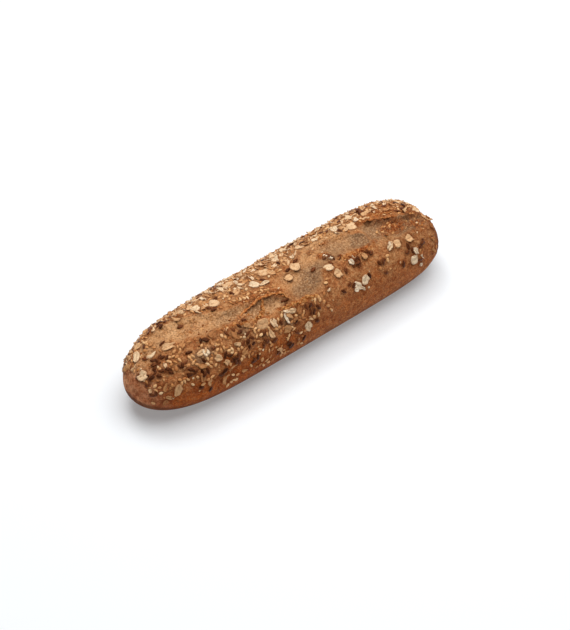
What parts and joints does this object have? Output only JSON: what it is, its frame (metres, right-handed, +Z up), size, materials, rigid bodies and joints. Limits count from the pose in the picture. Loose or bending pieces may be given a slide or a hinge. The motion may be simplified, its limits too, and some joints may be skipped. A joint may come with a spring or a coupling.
{
  "type": "baguette",
  "caption": "Short multigrain baguette with a browned crust, slanting slashes that opened in the oven, and a topping of oat flakes, linseed and sesame.",
  "frame": {"origin": "on the surface that the loaf lies on, under the middle of its length and width", "axes": "+X along the loaf from the narrow end to the blunt end, +Y across it, +Z up through the slashed crown"},
  "size_m": [0.2392, 0.0633, 0.0503],
  "materials": {
    "crust": "baked brown bread crust, matt, paler inside the slashes",
    "oat_flakes": "toasted oat flakes, cream to golden, matt",
    "linseed": "brown linseed, smooth with a soft gloss",
    "sesame": "hulled sesame seed, golden, satin"
  },
  "bodies": {
    "root": {"baguette": "crust"}
  },
  "joints": []
}
